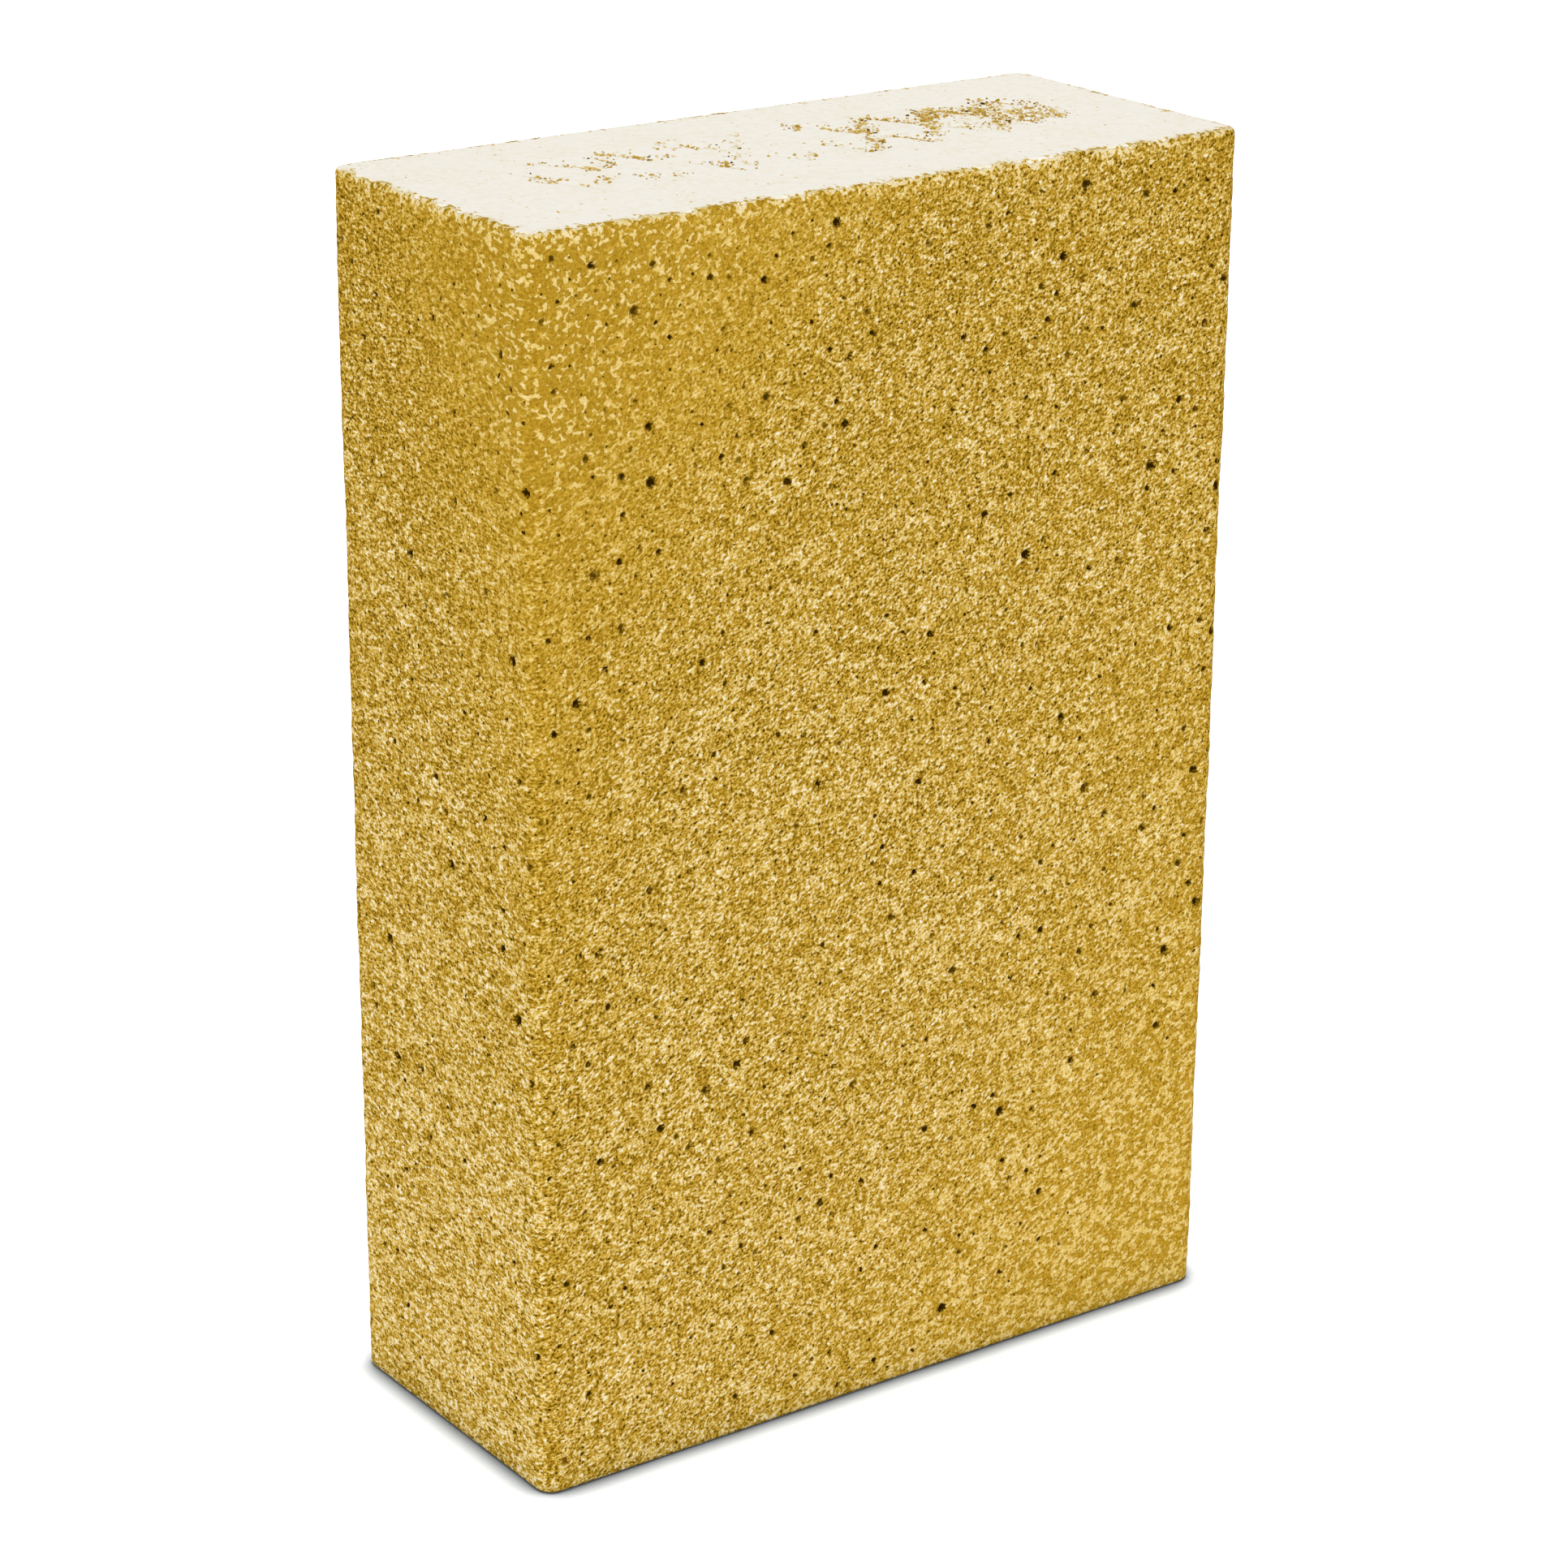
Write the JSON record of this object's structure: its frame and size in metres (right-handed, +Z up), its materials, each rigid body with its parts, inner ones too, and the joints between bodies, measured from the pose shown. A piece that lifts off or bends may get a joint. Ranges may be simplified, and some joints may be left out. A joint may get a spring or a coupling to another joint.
{
  "type": "floral foam brick",
  "caption": "Dry foam brick for flower arranging: pale foam core, thin granular gold skins on its long sides, plain bare ends and a pressed lozenge mark.",
  "frame": {"origin": "middle of the bottom end, on the surface that the brick stands on", "axes": "+Z up the brick's length, +X along its wide sides, +Y through its thickness from the front to the back"},
  "size_m": [0.152, 0.064, 0.23],
  "materials": {
    "pale_foam": "matte, open-celled",
    "gold_skin": "matte, granular",
    "crushed_foam": "matte, broken cells"
  },
  "bodies": {
    "root": {"foam_core": "pale_foam", "skin_front": "gold_skin", "skin_right": "gold_skin", "skin_back": "gold_skin", "skin_left": "gold_skin", "pressed_mark": "crushed_foam"}
  },
  "joints": []
}
